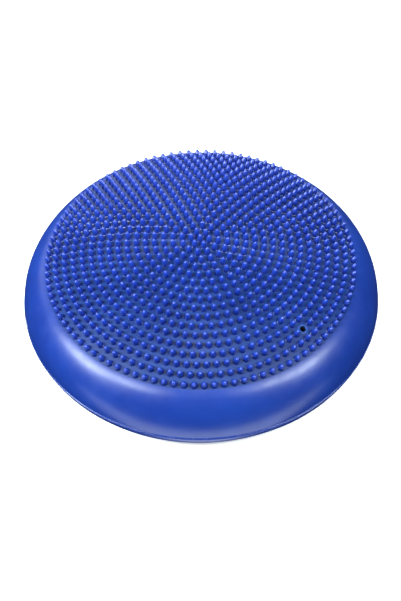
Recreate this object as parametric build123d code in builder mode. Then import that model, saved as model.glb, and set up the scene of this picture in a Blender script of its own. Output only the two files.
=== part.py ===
"""Inflated wobble cushion (balance disc): a hollow flexible skin with massage nubs and a needle valve.

Units are millimetres. The floor is z = 0 and +Z is up. The cushion is modelled pumped up firm.
One moulding makes the whole skin, so it is divided here only along lines the real one shows
or where it flexes: the base half up to the moulding seam, the seam itself, the smooth
shoulder above it, and the domed field that carries the nubs.
"""
import math
import os

from build123d import *

os.makedirs("parts", exist_ok=True)

# ---------------------------------------------------------------- driving dimensions
WALL = 3.0                 # skin thickness
SEAM_RADIUS = 165.0        # widest radius, at the moulding seam
SEAM_HEIGHT = 21.0         # middle of the seam above the floor
SEAM_BAND_HALF = 1.5       # half the height of the seam band
SEAM_BEAD_RADIUS = 0.45    # each of the two fine beads along the seam
SEAM_BEAD_OFFSET = 0.75    # bead centre above or below the middle of the seam

STUD_HEIGHT = 1.5          # low studs under the base
STUD_RADIUS = 2.75
STUD_RING_PITCH = 14.0
STUD_RINGS = 9
STUD_TAPER = 12.0          # degrees
BASE_CORNER_RADIUS = 19.5  # rounding from the flat base up to the seam

DOME_RADIUS = 346.9        # spherical radius of the nub field
DOME_CROWN_HEIGHT = 90.9   # top of the skin at the middle
DOME_EDGE_RADIUS = 142.0   # where the nub field meets the smooth shoulder
BROW_RADIUS = 30.0         # tighter curve that turns the dome down into the shoulder

NUB_RINGS = 17             # rings round the middle nub; ring k carries 6 k nubs
NUB_FIELD_RADIUS = 138.4   # radius of the outermost ring
NUB_FIELD_TURN = 51.75     # angle of one radial row from +X, degrees
NUB_FOOT_RADIUS = 2.8
NUB_HEIGHT = 7.4
EDGE_NUB_HEIGHT = 6.2      # the nubs of the outermost ring are shorter
NUB_TIP_RADIUS = 1.5

VALVE_RING = 15            # the valve takes the place of one nub in this ring
VALVE_STEP = 66            # its place along the ring, counted from the radial row
VALVE_LIP_RADIUS = 4.5     # the collar round the needle hole, flush with the skin
VALVE_LIP_PROUD = 0.4
VALVE_MOUTH_RADIUS = 2.7
VALVE_LIP_DEPTH = 1.6      # skin-side lip that holds the plug in
VALVE_FLANGE_RADIUS = 9.0
VALVE_FLANGE_DEPTH = 5.0
VALVE_BODY_RADIUS = 6.5
VALVE_BODY_DEPTH = 17.0
VALVE_END_HOLE_RADIUS = 1.8
PLUG_RADIUS = 3.8
PLUG_DEPTH = 14.5
NEEDLE_RADIUS = 1.1
NEEDLE_DEPTH = 12.5

# ---------------------------------------------------------------- derived values
DOME_CENTRE_HEIGHT = DOME_CROWN_HEIGHT - DOME_RADIUS
RING_PITCH = NUB_FIELD_RADIUS / NUB_RINGS


def dome_height(radius, inset=0.0):
    """Height of the dome at a distance from the axis, on a surface inset below the skin."""
    return DOME_CENTRE_HEIGHT + math.sqrt((DOME_RADIUS - inset) ** 2 - radius ** 2)


def dome_point(radius, inset=0.0):
    """A point of the dome in the XZ plane."""
    return (radius, dome_height(radius, inset))


# The brow arc leaves the dome smoothly and the shoulder arc leads on from it, also smoothly, to
# stand upright at the seam. That condition fixes the shoulder's radius.
dome_lean = math.asin(DOME_EDGE_RADIUS / DOME_RADIUS)
brow_centre = Vector(
    DOME_EDGE_RADIUS - BROW_RADIUS * math.sin(dome_lean),
    dome_height(DOME_EDGE_RADIUS) - BROW_RADIUS * math.cos(dome_lean),
)
brow_run = SEAM_RADIUS - brow_centre.X
brow_drop = brow_centre.Y - SEAM_HEIGHT
SHOULDER_RADIUS = (
    (brow_run ** 2 + brow_drop ** 2 - BROW_RADIUS ** 2) / (2 * (brow_run - BROW_RADIUS))
)
shoulder_centre = Vector(SEAM_RADIUS - SHOULDER_RADIUS, SEAM_HEIGHT)
meeting_lean = math.atan2(brow_centre.X - shoulder_centre.X, brow_drop)


def arc_through(centre, radius, start_lean, stop_lean):
    """Start, middle and end of an arc in the XZ plane; a lean is measured from straight up."""
    leans = (start_lean, (start_lean + stop_lean) / 2, stop_lean)
    return [
        (centre.X + radius * math.sin(lean), centre.Y + radius * math.cos(lean))
        for lean in leans
    ]


def shoulder_arcs(inset=0.0):
    """The shoulder and brow arcs from the seam band up to the dome, inset below the skin."""
    seam_lean = math.acos(SEAM_BAND_HALF / (SHOULDER_RADIUS - inset))
    edge_lean = math.asin((DOME_EDGE_RADIUS - brow_centre.X) / (BROW_RADIUS - inset))
    return [
        arc_through(shoulder_centre, SHOULDER_RADIUS - inset, seam_lean, meeting_lean),
        arc_through(brow_centre, BROW_RADIUS - inset, meeting_lean, edge_lean),
    ]


def skin_plane(radius, turn):
    """The plane that touches the dome's skin at a place, with its Z pointing out of the skin."""
    lean = math.asin(radius / DOME_RADIUS)
    across = math.radians(turn)
    outward = (
        math.sin(lean) * math.cos(across),
        math.sin(lean) * math.sin(across),
        math.cos(lean),
    )
    spot = (radius * math.cos(across), radius * math.sin(across), dome_height(radius))
    sideways = (-math.sin(across), math.cos(across), 0)
    return Plane(origin=spot, x_dir=sideways, z_dir=outward)


# ---------------------------------------------------------------- base half of the skin
seam_bottom = SEAM_HEIGHT - SEAM_BAND_HALF
corner_centre = SEAM_RADIUS - BASE_CORNER_RADIUS
base_skin = SEAM_HEIGHT - BASE_CORNER_RADIUS


def corner_radius_at(height, inset=0.0):
    """Distance from the axis of the base corner's surface at a height."""
    return corner_centre + math.sqrt(
        (BASE_CORNER_RADIUS - inset) ** 2 - (height - SEAM_HEIGHT) ** 2
    )


def corner_middle(inset=0.0):
    """The point halfway round the base corner."""
    reach = (BASE_CORNER_RADIUS - inset) * math.sqrt(0.5)
    return (corner_centre + reach, SEAM_HEIGHT - reach)


with BuildPart() as lower_shell:
    with BuildSketch(Plane.XZ):
        with BuildLine():
            Line((0, base_skin), (corner_centre, base_skin))
            ThreePointArc(
                (corner_centre, base_skin),
                corner_middle(),
                (corner_radius_at(seam_bottom), seam_bottom),
            )
            Line(
                (corner_radius_at(seam_bottom), seam_bottom),
                (corner_radius_at(seam_bottom, WALL), seam_bottom),
            )
            ThreePointArc(
                (corner_radius_at(seam_bottom, WALL), seam_bottom),
                corner_middle(WALL),
                (corner_centre, base_skin + WALL),
            )
            Line((corner_centre, base_skin + WALL), (0, base_skin + WALL))
            Line((0, base_skin + WALL), (0, base_skin))
        make_face()
    revolve(axis=Axis.Z)
    with BuildSketch(Plane.XY.offset(base_skin)) as stud_feet:
        Circle(STUD_RADIUS)
        for ring in range(1, STUD_RINGS + 1):
            with PolarLocations(ring * STUD_RING_PITCH, 6 * ring):
                Circle(STUD_RADIUS)
    extrude(stud_feet.sketch, amount=-STUD_HEIGHT, taper=STUD_TAPER)

# ---------------------------------------------------------------- moulding seam
with BuildPart() as seam_band:
    with BuildSketch(Plane.XZ):
        with Locations((SEAM_RADIUS - WALL / 2, SEAM_HEIGHT)):
            Rectangle(WALL, 2 * SEAM_BAND_HALF)
        with Locations(
            (SEAM_RADIUS, SEAM_HEIGHT - SEAM_BEAD_OFFSET),
            (SEAM_RADIUS, SEAM_HEIGHT + SEAM_BEAD_OFFSET),
        ):
            Circle(SEAM_BEAD_RADIUS)
    revolve(axis=Axis.Z)

# ---------------------------------------------------------------- smooth shoulder
outer_arcs = shoulder_arcs()
inner_arcs = shoulder_arcs(WALL)

with BuildPart() as shoulder:
    with BuildSketch(Plane.XZ):
        with BuildLine():
            for arc in outer_arcs + inner_arcs:
                ThreePointArc(*arc)
            Line(outer_arcs[0][0], inner_arcs[0][0])
            Line(outer_arcs[-1][-1], inner_arcs[-1][-1])
        make_face()
    revolve(axis=Axis.Z)

# ---------------------------------------------------------------- domed nub field
valve_plane = skin_plane(
    VALVE_RING * RING_PITCH, NUB_FIELD_TURN + 360 * VALVE_STEP / (6 * VALVE_RING)
)

# The dome is turned from a profile on the side away from the valve, so its hole meets no seam
# of the surface.
far_side = Plane.XZ.rotated((0, 0, 135))

with BuildPart() as dome_skin:
    with BuildSketch(far_side):
        with BuildLine():
            half = DOME_EDGE_RADIUS / 2
            ThreePointArc(dome_point(0), dome_point(half), dome_point(DOME_EDGE_RADIUS))
            Line(dome_point(DOME_EDGE_RADIUS), dome_point(DOME_EDGE_RADIUS, WALL))
            ThreePointArc(
                dome_point(DOME_EDGE_RADIUS, WALL),
                dome_point(half, WALL),
                dome_point(0, WALL),
            )
            Line(dome_point(0, WALL), dome_point(0))
        make_face()
    revolve(axis=Axis.Z)
    with BuildSketch(valve_plane.offset(VALVE_LIP_PROUD)):
        Circle(VALVE_LIP_RADIUS)
    extrude(amount=-2 * WALL, mode=Mode.SUBTRACT)

# ---------------------------------------------------------------- massage nubs
def bullet_nub(height):
    """One nub: a flank that stands upright at the foot and curves in smoothly to a small ball tip."""
    tip_centre = height - NUB_TIP_RADIUS
    flank_radius = (
        (NUB_FOOT_RADIUS ** 2 + tip_centre ** 2 - NUB_TIP_RADIUS ** 2)
        / (2 * (NUB_FOOT_RADIUS - NUB_TIP_RADIUS))
    )
    flank_centre = NUB_FOOT_RADIUS - flank_radius
    touch_turn = math.atan2(tip_centre, -flank_centre)
    half_turn = touch_turn / 2
    over_turn = (touch_turn + math.radians(90)) / 2
    touch_point = (
        NUB_TIP_RADIUS * math.cos(touch_turn),
        tip_centre + NUB_TIP_RADIUS * math.sin(touch_turn),
    )
    flank_point = (
        flank_centre + flank_radius * math.cos(half_turn),
        flank_radius * math.sin(half_turn),
    )
    over_point = (
        NUB_TIP_RADIUS * math.cos(over_turn),
        tip_centre + NUB_TIP_RADIUS * math.sin(over_turn),
    )
    with BuildPart() as nub:
        with BuildSketch(Plane.XZ):
            with BuildLine():
                Line((0, 0), (NUB_FOOT_RADIUS, 0))
                ThreePointArc((NUB_FOOT_RADIUS, 0), flank_point, touch_point)
                ThreePointArc(touch_point, over_point, (0, height))
                Line((0, height), (0, 0))
            make_face()
        revolve(axis=Axis.Z)
    return nub.part.solid()


inner_nub = bullet_nub(NUB_HEIGHT)
edge_nub = bullet_nub(EDGE_NUB_HEIGHT)

massage_nub_solids = [skin_plane(0, 0).location * inner_nub]
for ring in range(1, NUB_RINGS + 1):
    nub_shape = edge_nub if ring == NUB_RINGS else inner_nub
    for step in range(6 * ring):
        if ring == VALVE_RING and step == VALVE_STEP:
            continue
        turn = NUB_FIELD_TURN + 360 * step / (6 * ring)
        massage_nub_solids.append(skin_plane(ring * RING_PITCH, turn).location * nub_shape)

massage_nubs = Compound(massage_nub_solids)

# ---------------------------------------------------------------- needle valve
with BuildPart() as valve_pocket:
    with BuildSketch(valve_plane.offset(VALVE_LIP_PROUD)):
        Circle(VALVE_LIP_RADIUS)
    extrude(amount=-(VALVE_LIP_PROUD + WALL + 1))
    rim_edge = valve_pocket.edges().filter_by(GeomType.CIRCLE).sort_by(Axis.Z)[-1]
    fillet(rim_edge, VALVE_LIP_PROUD * 0.9)
    with BuildSketch(valve_plane.offset(-WALL * 0.9)):
        Circle(VALVE_FLANGE_RADIUS)
    extrude(amount=-(VALVE_FLANGE_DEPTH - WALL * 0.9))
    with BuildSketch(valve_plane.offset(-WALL)):
        Circle(VALVE_BODY_RADIUS)
    extrude(amount=-(VALVE_BODY_DEPTH - WALL))
    add(dome_skin.part, mode=Mode.SUBTRACT)
    with BuildSketch(valve_plane.offset(VALVE_LIP_PROUD)):
        Circle(VALVE_MOUTH_RADIUS)
    extrude(amount=-(VALVE_LIP_PROUD + VALVE_LIP_DEPTH), mode=Mode.SUBTRACT)
    with BuildSketch(valve_plane.offset(-VALVE_LIP_DEPTH)):
        Circle(PLUG_RADIUS)
    extrude(amount=-(PLUG_DEPTH - VALVE_LIP_DEPTH), mode=Mode.SUBTRACT)
    with BuildSketch(valve_plane.offset(-PLUG_DEPTH)):
        Circle(VALVE_END_HOLE_RADIUS)
    extrude(amount=-(VALVE_BODY_DEPTH - PLUG_DEPTH), mode=Mode.SUBTRACT)

with BuildPart() as valve_plug:
    with BuildSketch(valve_plane.offset(-VALVE_LIP_DEPTH)):
        Circle(PLUG_RADIUS)
    extrude(amount=-(PLUG_DEPTH - VALVE_LIP_DEPTH))
    with BuildSketch(valve_plane.offset(-VALVE_LIP_DEPTH)):
        Circle(NEEDLE_RADIUS)
    extrude(amount=-(NEEDLE_DEPTH - VALVE_LIP_DEPTH), mode=Mode.SUBTRACT)

# ---------------------------------------------------------------- export
nodes = {
    "lower_shell": lower_shell.part,
    "seam_band": seam_band.part,
    "shoulder": shoulder.part,
    "dome_skin": dome_skin.part,
    "massage_nubs": massage_nubs,
    "valve_pocket": valve_pocket.part,
    "valve_plug": valve_plug.part,
}

for node_name, shape in nodes.items():
    shape.label = node_name
    export_step(shape, f"parts/{node_name}.step")
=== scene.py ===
"""Looks of an inflated wobble cushion: satin flexible skin, massage nubs, moulding seam and needle valve."""

import math
import random

import bmesh
import bpy
from mathutils import Matrix, Vector, noise


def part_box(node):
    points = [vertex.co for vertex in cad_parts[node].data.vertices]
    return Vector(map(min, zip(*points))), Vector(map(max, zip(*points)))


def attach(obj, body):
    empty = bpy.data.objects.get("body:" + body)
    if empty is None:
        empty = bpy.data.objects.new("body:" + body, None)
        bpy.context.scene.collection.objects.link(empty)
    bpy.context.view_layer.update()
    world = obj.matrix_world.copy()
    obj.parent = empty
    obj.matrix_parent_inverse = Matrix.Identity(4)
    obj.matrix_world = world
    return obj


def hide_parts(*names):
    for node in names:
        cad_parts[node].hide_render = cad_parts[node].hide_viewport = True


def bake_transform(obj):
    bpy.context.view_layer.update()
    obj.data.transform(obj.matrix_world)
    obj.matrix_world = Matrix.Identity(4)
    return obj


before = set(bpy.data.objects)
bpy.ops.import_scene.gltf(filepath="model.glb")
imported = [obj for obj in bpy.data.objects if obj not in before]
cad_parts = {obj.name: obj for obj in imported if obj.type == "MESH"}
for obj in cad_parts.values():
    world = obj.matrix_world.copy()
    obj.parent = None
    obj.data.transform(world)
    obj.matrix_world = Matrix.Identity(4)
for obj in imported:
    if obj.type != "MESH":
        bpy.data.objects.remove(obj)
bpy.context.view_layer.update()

MM = 0.001

# ---------------------------------------------------------------- sizes read from the frame
seam_low, seam_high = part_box("seam_band")
shoulder_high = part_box("shoulder")[1]
dome_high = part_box("dome_skin")[1]
base_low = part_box("lower_shell")[0]

SEAM_BEAD = 0.45 * MM         # radius of each fine bead
SEAM_BEAD_OFFSET = 0.75 * MM  # bead centre above or below the middle of the seam
SEAM_BEAD_STEPS = 8
SEAM_TUCK = 0.02 * MM         # how far the edges of the band lie inside the widest radius
SEAM_RADIUS = seam_high[0] - SEAM_BEAD
SEAM_LOW = seam_low[2]
SEAM_HIGH = seam_high[2]
SEAM_MIDDLE = (SEAM_LOW + SEAM_HIGH) / 2

DOME_EDGE_RADIUS = dome_high[0]
DOME_CROWN = dome_high[2]
DOME_EDGE_HEIGHT = shoulder_high[2]
dome_rise = DOME_CROWN - DOME_EDGE_HEIGHT
DOME_RADIUS = (DOME_EDGE_RADIUS ** 2 + dome_rise ** 2) / (2 * dome_rise)
DOME_CENTRE = DOME_CROWN - DOME_RADIUS

STUD_HEIGHT = 1.5 * MM
STUD_RADIUS = 2.75 * MM
STUD_RING_PITCH = 14.0 * MM
STUD_RINGS = 9
BASE_SKIN = base_low[2] + STUD_HEIGHT
CORNER_RADIUS = SEAM_MIDDLE - BASE_SKIN
CORNER_CENTRE = SEAM_RADIUS - CORNER_RADIUS

NUB_RINGS = 17
NUB_FIELD_RADIUS = 138.4 * MM
NUB_FIELD_TURN = 51.75
NUB_FOOT = 2.8 * MM
NUB_HEIGHT = 7.4 * MM
EDGE_NUB_HEIGHT = 6.2 * MM
NUB_TIP = 1.5 * MM
NUB_FILLET = 0.7 * MM
NUB_SINK = 0.2 * MM           # how far the foot of a nub reaches under the skin
NUB_SIDES = 16
NUB_SCATTER = 0.012           # spread of the lean in radians, and of the height as a share
RING_PITCH = NUB_FIELD_RADIUS / NUB_RINGS

VALVE_RING = 15
VALVE_STEP = 66
VALVE_LIP = 4.5 * MM
VALVE_LIP_PROUD = 0.4 * MM
VALVE_MOUTH = 2.7 * MM
VALVE_LIP_DEPTH = 1.6 * MM
VALVE_SIDES = 48
NEEDLE_RADIUS = 1.1 * MM
NEEDLE_DEPTH = 12.5 * MM

SEGMENTS = 288
random.seed(7)

# The brow arc leaves the dome smoothly and the shoulder arc leads on from it, also smoothly, to
# stand upright at the seam. That condition fixes the shoulder's radius.
BROW_RADIUS = 30.0 * MM
dome_lean = math.asin(DOME_EDGE_RADIUS / DOME_RADIUS)
brow_centre = Vector((
    DOME_EDGE_RADIUS - BROW_RADIUS * math.sin(dome_lean),
    DOME_EDGE_HEIGHT - BROW_RADIUS * math.cos(dome_lean),
))
brow_run = SEAM_RADIUS - brow_centre.x
brow_drop = brow_centre.y - SEAM_MIDDLE
SHOULDER_RADIUS = (brow_run ** 2 + brow_drop ** 2 - BROW_RADIUS ** 2) / (2 * (brow_run - BROW_RADIUS))
shoulder_centre = Vector((SEAM_RADIUS - SHOULDER_RADIUS, SEAM_MIDDLE))
meeting_lean = math.atan2(brow_centre.x - shoulder_centre.x, brow_drop)
seam_lean = math.acos((SEAM_HIGH - SEAM_MIDDLE) / SHOULDER_RADIUS)
split_lean = math.radians(62)  # where the lower piece of the shoulder meets the upper one


# ---------------------------------------------------------------- profiles, as (radius, height) pairs
def dome_height(radius):
    return DOME_CENTRE + math.sqrt(DOME_RADIUS ** 2 - radius ** 2)


END_SHARE = 0.08              # where the extra value lies, as a share of a step


def spaced(start, stop, count):
    """Evenly spaced values with one extra close to each end, which keeps shading even across a join."""
    step = (stop - start) / count
    inner = [start + step * i for i in range(1, count)]
    return [start, start + step * END_SHARE] + inner + [stop - step * END_SHARE, stop]


def skin_point(lean):
    """The point of the shoulder's skin whose outward normal leans this far from straight up."""
    if lean > meeting_lean:
        centre, radius = shoulder_centre, SHOULDER_RADIUS
    else:
        centre, radius = brow_centre, BROW_RADIUS
    return (centre.x + radius * math.sin(lean), centre.y + radius * math.cos(lean))


def shoulder_profile(start_lean, stop_lean, count):
    """The skin between two leans of its normal, from the lower to the higher place."""
    return [skin_point(lean) for lean in spaced(start_lean, stop_lean, count)]


def dome_profile(count):
    return [
        (DOME_RADIUS * math.sin(t), DOME_CENTRE + DOME_RADIUS * math.cos(t))
        for t in spaced(dome_lean, 0.0, count)
    ]


def corner_profile(low, high, count):
    """The rounded corner between the flat base and the seam."""
    start = -math.acos(min((SEAM_MIDDLE - low) / CORNER_RADIUS, 1.0))
    stop = -math.acos((SEAM_MIDDLE - high) / CORNER_RADIUS)
    return [
        (CORNER_CENTRE - CORNER_RADIUS * math.sin(t), SEAM_MIDDLE - CORNER_RADIUS * math.cos(t))
        for t in spaced(start, stop, count)
    ]


def seam_profile():
    """The seam band with two fine rounded beads."""
    points = [(SEAM_RADIUS - SEAM_TUCK, SEAM_LOW)]
    for centre in (SEAM_MIDDLE - SEAM_BEAD_OFFSET, SEAM_MIDDLE + SEAM_BEAD_OFFSET):
        for i in range(SEAM_BEAD_STEPS + 1):
            turn = math.radians(-90 + 180 * i / SEAM_BEAD_STEPS)
            points.append((SEAM_RADIUS + SEAM_BEAD * math.cos(turn), centre + SEAM_BEAD * math.sin(turn)))
    points.append((SEAM_RADIUS - SEAM_TUCK, SEAM_HIGH))
    return points


# ---------------------------------------------------------------- mesh helpers
SLOW_WAVE_RATE = 14.0
SLOW_WAVE_DEPTH = 0.22
QUICK_WAVE_RATE = 46.0
QUICK_WAVE_DEPTH = 0.05
QUICK_WAVE_PLACE = Vector((3, 1, 7))


def swell(point):
    """How far the inflated skin stands off its true shape at a place: slow, slight waves."""
    slow = noise.noise(point * SLOW_WAVE_RATE) * SLOW_WAVE_DEPTH * MM
    quick = noise.noise(point * QUICK_WAVE_RATE + QUICK_WAVE_PLACE) * QUICK_WAVE_DEPTH * MM
    return slow + quick


def make_mesh(name, points, faces):
    mesh = bpy.data.meshes.new(name)
    mesh.from_pydata(points, [], faces)
    mesh.shade_smooth()
    mesh.update()
    obj = bpy.data.objects.new(name, mesh)
    bpy.context.scene.collection.objects.link(obj)
    return obj


def profile_normals(profile):
    """Outward unit normals in the (radius, height) plane for a profile that runs up and inward."""
    out = []
    for i in range(len(profile)):
        a = profile[max(i - 1, 0)]
        b = profile[min(i + 1, len(profile) - 1)]
        along = Vector((b[0] - a[0], b[1] - a[1])).normalized()
        out.append(Vector((along.y, -along.x)))
    return out


def revolved(name, profile, wavy=True, segments=SEGMENTS):
    """A surface turned about Z. Its profile runs upwards or inwards, from the bottom or the outside."""
    normals = profile_normals(profile)
    points, rows, faces = [], [], []
    for (radius, height), normal in zip(profile, normals):
        if radius < 1e-6:
            rows.append([len(points)] * segments)
            points.append((0.0, 0.0, height))
            continue
        row = []
        for i in range(segments):
            turn = 2 * math.pi * i / segments
            spot = Vector((radius * math.cos(turn), radius * math.sin(turn), height))
            if wavy:
                out = Vector((normal.x * math.cos(turn), normal.x * math.sin(turn), normal.y))
                spot += out * swell(spot)
            row.append(len(points))
            points.append(spot)
        rows.append(row)
    for low, high in zip(rows, rows[1:]):
        for i in range(segments):
            j = (i + 1) % segments
            corners = [low[i], low[j], high[j], high[i]]
            faces.append(list(dict.fromkeys(corners)))
    return make_mesh(name, points, faces)


def skin_frame(radius, turn_degrees):
    """A matrix whose origin lies on the dome's skin and whose Z points out of it."""
    lean = math.asin(radius / DOME_RADIUS)
    turn = math.radians(turn_degrees)
    outward = Vector((math.sin(lean) * math.cos(turn), math.sin(lean) * math.sin(turn), math.cos(lean)))
    sideways = Vector((-math.sin(turn), math.cos(turn), 0.0))
    spot = Vector((0, 0, DOME_CENTRE)) + outward * DOME_RADIUS
    across = outward.cross(sideways)
    return Matrix((
        (sideways.x, across.x, outward.x, spot.x),
        (sideways.y, across.y, outward.y, spot.y),
        (sideways.z, across.z, outward.z, spot.z),
        (0, 0, 0, 1),
    ))


# ---------------------------------------------------------------- materials
def new_material(name):
    material = bpy.data.materials.new(name)
    material.use_nodes = True
    tree = material.node_tree
    tree.nodes.clear()
    output = tree.nodes.new("ShaderNodeOutputMaterial")
    shader = tree.nodes.new("ShaderNodeBsdfPrincipled")
    tree.links.new(shader.outputs["BSDF"], output.inputs["Surface"])
    return material, tree, shader


def noise_node(tree, scale, detail=2.0, roughness=0.5):
    place = tree.nodes.new("ShaderNodeTexCoord")
    texture = tree.nodes.new("ShaderNodeTexNoise")
    texture.inputs["Scale"].default_value = scale
    texture.inputs["Detail"].default_value = detail
    texture.inputs["Roughness"].default_value = roughness
    tree.links.new(place.outputs["Object"], texture.inputs["Vector"])
    return texture.outputs["Fac"]


def ramp(tree, source, stops):
    node = tree.nodes.new("ShaderNodeValToRGB")
    node.color_ramp.elements[0].position = stops[0][0]
    node.color_ramp.elements[0].color = (*stops[0][1], 1)
    node.color_ramp.elements[1].position = stops[-1][0]
    node.color_ramp.elements[1].color = (*stops[-1][1], 1)
    for position, colour in stops[1:-1]:
        element = node.color_ramp.elements.new(position)
        element.color = (*colour, 1)
    tree.links.new(source, node.inputs["Fac"])
    return node.outputs["Color"]


def remap(tree, source, low, high, source_low=0.3, source_high=0.7):
    node = tree.nodes.new("ShaderNodeMapRange")
    node.inputs["From Min"].default_value = source_low
    node.inputs["From Max"].default_value = source_high
    node.inputs["To Min"].default_value = low
    node.inputs["To Max"].default_value = high
    tree.links.new(source, node.inputs["Value"])
    return node.outputs["Result"]


def bump(tree, source, distance, strength, under=None):
    node = tree.nodes.new("ShaderNodeBump")
    node.inputs["Distance"].default_value = distance
    node.inputs["Strength"].default_value = strength
    tree.links.new(source, node.inputs["Height"])
    if under is not None:
        tree.links.new(under, node.inputs["Normal"])
    return node.outputs["Normal"]


# Colour factors by height share on a nub: painted shade at the foot, painted highlight near the tip.
NUB_PAINTED_SHADE_AND_LIGHT = [
    (0.0, (0.30, 0.32, 0.42)),
    (0.55, (0.85, 0.85, 0.88)),
    (0.9, (1.25, 1.25, 1.2)),
]
MIX_FIRST_COLOUR = 6          # sockets of a mix node that is set to colours
MIX_SECOND_COLOUR = 7
MIX_COLOUR_RESULT = 2


def painted_nub_shade_and_tip_light(tree, colour):
    """Painted shade towards each nub's foot and a painted highlight near its tip, multiplied into a colour.
    """
    rise = tree.nodes.new("ShaderNodeAttribute")
    rise.attribute_name = "rise"
    shade = ramp(tree, rise.outputs["Fac"], NUB_PAINTED_SHADE_AND_LIGHT)
    blend = tree.nodes.new("ShaderNodeMix")
    blend.data_type = "RGBA"
    blend.blend_type = "MULTIPLY"
    blend.inputs["Factor"].default_value = 1.0
    tree.links.new(colour, blend.inputs[MIX_FIRST_COLOUR])
    tree.links.new(shade, blend.inputs[MIX_SECOND_COLOUR])
    return blend.outputs[MIX_COLOUR_RESULT]


CLOUD_SCALE = 24.0
SHEEN_SCALE = 90.0
PEEL_SCALE = 210.0
PEEL_DEPTH = 0.25 * MM
GRAIN_SCALE = 1500.0
GRAIN_DEPTH = 0.06 * MM


def flexible_skin(name, deep, pale, rough_low, rough_high, grain, gloss, foot=False):
    """Moulded flexible plastic: cloudy blue, satin sheen broken by a fine mould grain."""
    material, tree, shader = new_material(name)
    colour = ramp(tree, noise_node(tree, CLOUD_SCALE, 4.0, 0.6), [(0.32, deep), (0.68, pale)])
    # Painted shade at the nubs' feet and a painted highlight at their tips.
    if foot:
        colour = painted_nub_shade_and_tip_light(tree, colour)
    tree.links.new(colour, shader.inputs["Base Color"])
    rough = remap(tree, noise_node(tree, SHEEN_SCALE, 5.0, 0.7), rough_low, rough_high)
    tree.links.new(rough, shader.inputs["Roughness"])
    orange_peel = bump(tree, noise_node(tree, PEEL_SCALE, 2.0), PEEL_DEPTH, grain * 0.5)
    fine = bump(tree, noise_node(tree, GRAIN_SCALE, 2.0, 0.6), GRAIN_DEPTH, grain, orange_peel)
    tree.links.new(fine, shader.inputs["Normal"])
    shader.inputs["Specular IOR Level"].default_value = gloss
    return material


SKIN_DEEP = (0.007, 0.034, 0.26)
SKIN_PALE = (0.010, 0.047, 0.32)
# The skin between the nubs is a darker copy of the shoulder's skin: painted shade between the nubs.
FIELD_SHADED_DEEP = (0.004, 0.030, 0.17)
FIELD_SHADED_PALE = (0.008, 0.044, 0.22)
# The nubs are a lighter copy of the skin's colour: painted light on the nubs.
NUB_LIT_DEEP = (0.009, 0.038, 0.36)
NUB_LIT_PALE = (0.014, 0.053, 0.44)
COLLAR_PALE = (0.03, 0.10, 0.40)
RUBBER_DEEP = (0.001, 0.001, 0.002)
RUBBER_PALE = (0.003, 0.003, 0.005)
RUBBER_GLOSS = 0.08

skin = flexible_skin("skin_satin", SKIN_DEEP, SKIN_PALE, 0.30, 0.40, 0.22, 0.65)
# Darker copy of the skin for the dome between the nubs: painted shade.
field = flexible_skin("field_satin_painted_shade", FIELD_SHADED_DEEP, FIELD_SHADED_PALE, 0.36, 0.46, 0.25, 0.45)
# Lighter copy of the skin for the nubs: painted light; their feet also get painted shade and their tips a
# painted highlight.
nubs_material = flexible_skin("nub_satin_painted_light", NUB_LIT_DEEP, NUB_LIT_PALE, 0.25, 0.32, 0.12, 1.0, foot=True)
seam_material = flexible_skin("seam_satin", SKIN_DEEP, SKIN_PALE, 0.22, 0.3, 0.15, 0.6)
collar_material = flexible_skin("collar_satin", FIELD_SHADED_PALE, COLLAR_PALE, 0.3, 0.42, 0.15, 0.5)

rubber, rubber_tree, rubber_shader = new_material("black_rubber")
rubber_cloud = noise_node(rubber_tree, 800.0, 3.0)
rubber_colour = ramp(rubber_tree, rubber_cloud, [(0.35, RUBBER_DEEP), (0.7, RUBBER_PALE)])
rubber_tree.links.new(rubber_colour, rubber_shader.inputs["Base Color"])
rubber_rough = remap(rubber_tree, noise_node(rubber_tree, 600.0, 3.0), 0.55, 0.75)
rubber_tree.links.new(rubber_rough, rubber_shader.inputs["Roughness"])
rubber_grain = bump(rubber_tree, noise_node(rubber_tree, 2500.0), 0.05 * MM, 0.4)
rubber_tree.links.new(rubber_grain, rubber_shader.inputs["Normal"])
rubber_shader.inputs["Specular IOR Level"].default_value = RUBBER_GLOSS


def dress(obj, material, slot, *nodes):
    """Give a piece its material and hide the CAD nodes it stands in for."""
    obj.data.materials.append(material)
    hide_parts(*nodes)
    return obj


# ---------------------------------------------------------------- shoulder, in two pieces
lower_flank = revolved("flank_lower", shoulder_profile(seam_lean, split_lean, 24))
upper_flank = revolved("flank_upper", shoulder_profile(split_lean, dome_lean, 24))
for flank in (lower_flank, upper_flank):
    dress(flank, skin, "skin", "shoulder")
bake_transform(lower_flank)
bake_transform(upper_flank)

# ---------------------------------------------------------------- dome under the nubs
VALVE_TURN = NUB_FIELD_TURN + 360 * VALVE_STEP / (6 * VALVE_RING)
valve_frame = skin_frame(VALVE_RING * RING_PITCH, VALVE_TURN)


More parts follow.
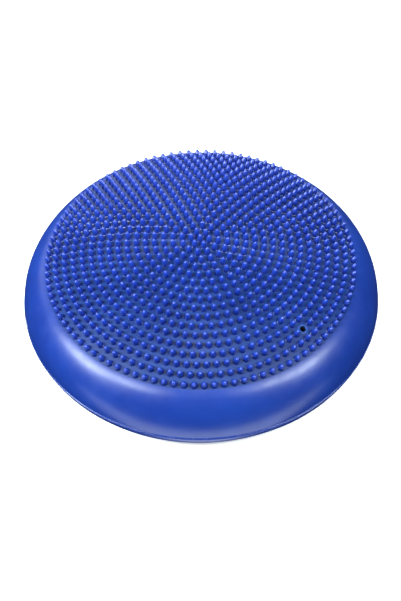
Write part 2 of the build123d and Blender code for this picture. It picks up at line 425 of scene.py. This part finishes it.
def open_valve_hole(obj):
    """Cut a round hole for the valve collar in the dome and close the skin up to its edge."""
    to_valve = valve_frame.inverted()
    outward = valve_frame.to_3x3().col[2]
    skin_mesh = bmesh.new()
    skin_mesh.from_mesh(obj.data)
    cleared = VALVE_LIP + 1.0 * MM
    covered = [v for v in skin_mesh.verts if (to_valve @ v.co).xy.length < cleared]
    bmesh.ops.delete(skin_mesh, geom=covered, context="VERTS")
    torn_edges = [
        e for e in skin_mesh.edges
        if e.is_boundary and (to_valve @ e.verts[0].co).xy.length < 4 * VALVE_LIP
    ]
    ring = []
    for i in range(VALVE_SIDES):
        turn = 2 * math.pi * i / VALVE_SIDES
        spot = valve_frame @ Vector((VALVE_LIP * math.cos(turn), VALVE_LIP * math.sin(turn), 0))
        ring.append(skin_mesh.verts.new(spot + outward * swell(spot)))
    ring_edges = [skin_mesh.edges.new((ring[i], ring[(i + 1) % VALVE_SIDES])) for i in range(VALVE_SIDES)]
    bmesh.ops.triangle_fill(skin_mesh, edges=torn_edges + ring_edges, normal=outward, use_beauty=True)
    for face in skin_mesh.faces:
        face.smooth = True
    bmesh.ops.recalc_face_normals(skin_mesh, faces=skin_mesh.faces)
    skin_mesh.to_mesh(obj.data)
    skin_mesh.free()


dome = revolved("dome_field", dome_profile(44))
open_valve_hole(dome)
dress(dome, field, "skin", "dome_skin")
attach(dome, "crown")

# ---------------------------------------------------------------- moulding seam
seam = revolved("seam_beads", seam_profile(), wavy=False)
dress(seam, seam_material, "seam", "seam_band")
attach(seam, "girdle")

# ---------------------------------------------------------------- base wall and underside
base_wall = revolved("base_wall", corner_profile(BASE_SKIN, SEAM_LOW, 20))
dress(base_wall, skin, "skin", "lower_shell")
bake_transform(base_wall)


def studded_base():
    """The flat underside with its rings of low round studs."""
    points, faces = [], []
    rings = 40
    rows = []
    for k in range(rings + 1):
        radius = CORNER_CENTRE * k / rings
        if k == 0:
            rows.append([0] * SEGMENTS)
            points.append((0, 0, BASE_SKIN))
            continue
        row = []
        for i in range(SEGMENTS):
            turn = 2 * math.pi * i / SEGMENTS
            row.append(len(points))
            points.append((radius * math.cos(turn), radius * math.sin(turn), BASE_SKIN))
        rows.append(row)
    for low, high in zip(rows, rows[1:]):
        for i in range(SEGMENTS):
            j = (i + 1) % SEGMENTS
            corners = [low[i], high[i], high[j], low[j]]
            faces.append(list(dict.fromkeys(reversed(corners))))
    sides = 20
    stud = [
        (STUD_RADIUS * 1.15, 0.02 * MM),
        (STUD_RADIUS * 1.0, -0.2 * MM),
        (STUD_RADIUS * 0.94, -1.1 * MM),
        (STUD_RADIUS * 0.88, -1.38 * MM),
        (STUD_RADIUS * 0.76, -1.5 * MM),
    ]
    spots = [(0.0, 0.0)]
    for k in range(1, STUD_RINGS + 1):
        for n in range(6 * k):
            turn = 2 * math.pi * n / (6 * k)
            spots.append((k * STUD_RING_PITCH * math.cos(turn), k * STUD_RING_PITCH * math.sin(turn)))
    for x, y in spots:
        first = len(points)
        for radius, height in stud:
            for i in range(sides):
                turn = 2 * math.pi * i / sides
                points.append((x + radius * math.cos(turn), y + radius * math.sin(turn), BASE_SKIN + height))
        for level in range(len(stud) - 1):
            for i in range(sides):
                j = (i + 1) % sides
                a = first + level * sides
                b = a + sides
                faces.append((a + i, b + i, b + j, a + j))
        last = first + (len(stud) - 1) * sides
        faces.append(tuple(last + i for i in reversed(range(sides))))
    return make_mesh("base_studded", points, faces)


underside = studded_base()
dress(underside, skin, "skin", "lower_shell")
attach(underside, "base")


# ---------------------------------------------------------------- massage nubs
def nub_profile(height):
    """A bullet with a small ball tip and a moulded fillet at its foot, as (radius, height) pairs."""
    tip_centre = height - NUB_TIP
    flank = (NUB_FOOT ** 2 + tip_centre ** 2 - NUB_TIP ** 2) / (2 * (NUB_FOOT - NUB_TIP))
    touch = math.atan2(tip_centre, flank - NUB_FOOT)
    profile = [
        (NUB_FOOT + NUB_FILLET, -NUB_SINK),
        (NUB_FOOT + NUB_FILLET * 0.5, NUB_FILLET * 0.06),
        (NUB_FOOT + NUB_FILLET * 0.12, NUB_FILLET * 0.45),
    ]
    lowest = math.asin(NUB_FILLET * 1.1 / flank)
    flank_steps = 6
    for i in range(flank_steps):
        turn = lowest + (touch - lowest) * i / flank_steps
        profile.append((NUB_FOOT - flank + flank * math.cos(turn), flank * math.sin(turn)))
    tip_steps = 5
    for i in range(tip_steps):
        turn = touch + (math.radians(90) - touch) * i / tip_steps
        profile.append((NUB_TIP * math.cos(turn), tip_centre + NUB_TIP * math.sin(turn)))
    return profile


def nub_field():
    """Every nub in one mesh, each leaning and sized a little differently from its neighbours."""
    inner_profile = nub_profile(NUB_HEIGHT)
    edge_profile = nub_profile(EDGE_NUB_HEIGHT)
    sides = NUB_SIDES
    turns = [2 * math.pi * i / sides for i in range(sides)]
    circle = [(math.cos(turn), math.sin(turn)) for turn in turns]
    places = [(0.0, 0.0)]
    for ring in range(1, NUB_RINGS + 1):
        for step in range(6 * ring):
            if ring == VALVE_RING and step == VALVE_STEP:
                continue
            places.append((ring * RING_PITCH, NUB_FIELD_TURN + 360 * step / (6 * ring)))
    points, faces, rises = [], [], []
    for radius, turn in places:
        matrix = skin_frame(radius, turn)
        lean_x = Matrix.Rotation(random.gauss(0, NUB_SCATTER), 4, "X")
        lean_y = Matrix.Rotation(random.gauss(0, NUB_SCATTER), 4, "Y")
        tall = 1 + random.gauss(0, NUB_SCATTER)
        matrix = matrix @ (lean_x @ lean_y)
        at_edge = radius > (NUB_RINGS - 0.5) * RING_PITCH
        profile = edge_profile if at_edge else inner_profile
        height = EDGE_NUB_HEIGHT if at_edge else NUB_HEIGHT
        first = len(points)
        for r, h in profile:
            for c, s in circle:
                points.append(matrix @ Vector((r * c, r * s, h * tall)))
                rises.append(max(h / height, 0.0))
        top = len(points)
        points.append(matrix @ Vector((0, 0, height * tall)))
        rises.append(1.0)
        for level in range(len(profile) - 1):
            a = first + level * sides
            b = a + sides
            for i in range(sides):
                j = (i + 1) % sides
                faces.append((a + i, a + j, b + j, b + i))
        last = first + (len(profile) - 1) * sides
        for i in range(sides):
            faces.append((last + i, last + (i + 1) % sides, top))
    field_of_nubs = make_mesh("massage_nub_field", points, faces)
    share = field_of_nubs.data.attributes.new("rise", "FLOAT", "POINT")
    share.data.foreach_set("value", rises)
    return field_of_nubs


nubs = nub_field()
dress(nubs, nubs_material, "nubs", "massage_nubs")
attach(nubs, "crown")


# ---------------------------------------------------------------- needle valve
def turned_in_valve(name, profile, sides=VALVE_SIDES):
    """A surface turned about the valve's axis from (radius, height above the skin) pairs."""
    points, faces = [], []
    for radius, height in profile:
        for i in range(sides):
            turn = 2 * math.pi * i / sides
            points.append(valve_frame @ Vector((radius * math.cos(turn), radius * math.sin(turn), height)))
    for level in range(len(profile) - 1):
        for i in range(sides):
            j = (i + 1) % sides
            a = level * sides
            b = a + sides
            faces.append((a + i, a + j, b + j, b + i))
    return make_mesh(name, points, faces)


collar_profile = [
    (VALVE_LIP + 0.25 * MM, -0.3 * MM),
    (VALVE_LIP, 0.05 * MM),
    (VALVE_LIP - 0.12 * MM, VALVE_LIP_PROUD * 0.75),
    (VALVE_LIP - 0.45 * MM, VALVE_LIP_PROUD),
    (VALVE_MOUTH + 0.45 * MM, VALVE_LIP_PROUD),
    (VALVE_MOUTH + 0.12 * MM, VALVE_LIP_PROUD * 0.75),
    (VALVE_MOUTH, 0.0),
    (VALVE_MOUTH, -VALVE_LIP_DEPTH),
]
collar = turned_in_valve("valve_collar", collar_profile)
dress(collar, collar_material, "valve_collar", "valve_pocket")
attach(collar, "crown")

core_profile = [
    (VALVE_MOUTH + 0.1 * MM, -VALVE_LIP_DEPTH + 0.1 * MM),
    (VALVE_MOUTH - 0.5 * MM, -VALVE_LIP_DEPTH + 0.25 * MM),
    (NEEDLE_RADIUS + 0.4 * MM, -VALVE_LIP_DEPTH),
    (NEEDLE_RADIUS, -VALVE_LIP_DEPTH - 0.5 * MM),
    (NEEDLE_RADIUS, -NEEDLE_DEPTH),
    (0.02 * MM, -NEEDLE_DEPTH),
]
core = turned_in_valve("valve_core", core_profile)
dress(core, rubber, "valve_rubber", "valve_plug")
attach(core, "crown")


# ---------------------------------------------------------------- floor
SWEEP_RADIUS = 6.0
SWEEP_BEND = 2.0
SWEEP_TOP = 9.0
SWEEP_STEPS = 12
FLOOR_DROP = -0.05 * MM       # keeps the floor clear of the faces of the studs
FLOOR_GLOW = 0.45


def sweep_profile():
    """A level floor that bends up into a round wall far away, from the top of the wall inwards."""
    points = [(SWEEP_RADIUS + SWEEP_BEND, SWEEP_TOP)]
    for i in range(SWEEP_STEPS + 1):
        turn = math.radians(90 * i / SWEEP_STEPS)
        points.append((
            SWEEP_RADIUS + SWEEP_BEND * math.cos(turn),
            FLOOR_DROP + SWEEP_BEND * (1 - math.sin(turn)),
        ))
    return points + [(0.0, FLOOR_DROP)]


floor = revolved("floor", sweep_profile(), wavy=False, segments=96)
floor_material, floor_tree, floor_shader = new_material("white_floor")
floor_shader.inputs["Base Color"].default_value = (1.0, 1.0, 1.0, 1)
floor_shader.inputs["Roughness"].default_value = 0.6
floor_shader.inputs["Emission Color"].default_value = (1, 1, 1, 1)
floor_shader.inputs["Emission Strength"].default_value = FLOOR_GLOW
floor.data.materials.append(floor_material)
# Not how a real floor behaves: its bounce is left out because it makes the sides too pale.
floor.visible_diffuse = False
floor.visible_glossy = False

# ---------------------------------------------------------------- camera
CAMERA_LENS = 73.38
CAMERA_DOWN = math.radians(48.86)
CAMERA_ROLL = math.radians(-0.94)
CAMERA_DISTANCE = 1.1171
CAMERA_SHIFT = -0.0692
AIM_HEIGHT = 0.0653

aim = Vector((0, 0, AIM_HEIGHT))
forward = Vector((0, math.cos(CAMERA_DOWN), -math.sin(CAMERA_DOWN)))
level_right = Vector((1, 0, 0))
level_up = Vector((0, math.sin(CAMERA_DOWN), math.cos(CAMERA_DOWN)))
camera_right = level_right * math.cos(CAMERA_ROLL) + level_up * math.sin(CAMERA_ROLL)
camera_up = level_up * math.cos(CAMERA_ROLL) - level_right * math.sin(CAMERA_ROLL)
eye = aim - forward * CAMERA_DISTANCE

lens = bpy.data.cameras.new("camera")
lens.lens = CAMERA_LENS
lens.sensor_width = 36.0
lens.shift_y = CAMERA_SHIFT
lens.dof.use_dof = False
camera = bpy.data.objects.new("camera", lens)
camera.matrix_world = Matrix((
    (camera_right.x, camera_up.x, -forward.x, eye.x),
    (camera_right.y, camera_up.y, -forward.y, eye.y),
    (camera_right.z, camera_up.z, -forward.z, eye.z),
    (0, 0, 0, 1),
))
bpy.context.scene.collection.objects.link(camera)
bpy.context.scene.camera = camera


# ---------------------------------------------------------------- light
COOL_WHITE = (0.90, 1.0, 1.06)
LIGHT_AIM = Vector((0, 0, 0.05))
WORLD_GLOW = 0.03


def softbox(name, azimuth, elevation, distance, width, height, brightness):
    """A soft panel light aimed at the cushion. Azimuth 0 is +Y and turns clockwise seen from above."""
    light = bpy.data.lights.new(name, "AREA")
    light.shape = "RECTANGLE"
    light.size = width
    light.size_y = height
    light.energy = math.pi * width * height * brightness
    light.color = COOL_WHITE
    obj = bpy.data.objects.new(name, light)
    a, e = math.radians(azimuth), math.radians(elevation)
    away = Vector((math.sin(a) * math.cos(e), math.cos(a) * math.cos(e), math.sin(e)))
    obj.location = LIGHT_AIM + away * distance
    obj.rotation_euler = away.to_track_quat("Z", "Y").to_euler()
    bpy.context.scene.collection.objects.link(obj)
    return obj


# The strengths are chosen for the view of this camera.
softbox("softbox_left", -105, 35, 1.5, 0.6, 0.5, 26.0)
softbox("softbox_left_front", -131, 49, 1.5, 0.44, 0.40, 17.0)
softbox("softbox_right", 112, 38, 1.5, 0.5, 0.5, 17.0)
softbox("softbox_right_front", 133, 50, 1.5, 0.40, 0.38, 15.0)
softbox("overhead", 180, 84, 1.6, 0.32, 0.32, 12.0)
softbox("backdrop_low", 0, 9, 2.2, 2.6, 0.6, 3.0)
softbox("backdrop_middle", 0, 34, 1.9, 1.8, 0.8, 5.0)
softbox("backdrop_left", -50, 18, 2.0, 1.0, 0.7, 1.9)
# A strip on the floor in front, facing up, that stands in for part of the floor's own bounce.
table_bounce = softbox("table_bounce", 180, 0, 0.19, 0.5, 0.05, 2.0)
table_bounce.location.z = 2 * MM
table_bounce.rotation_euler = (math.pi, 0, 0)

world = bpy.data.worlds.new("studio")
world.use_nodes = True
background = world.node_tree.nodes["Background"]
background.inputs["Color"].default_value = (0.9, 0.95, 1.0, 1)
background.inputs["Strength"].default_value = WORLD_GLOW
bpy.context.scene.world = world
bpy.context.scene.view_settings.view_transform = "Standard"
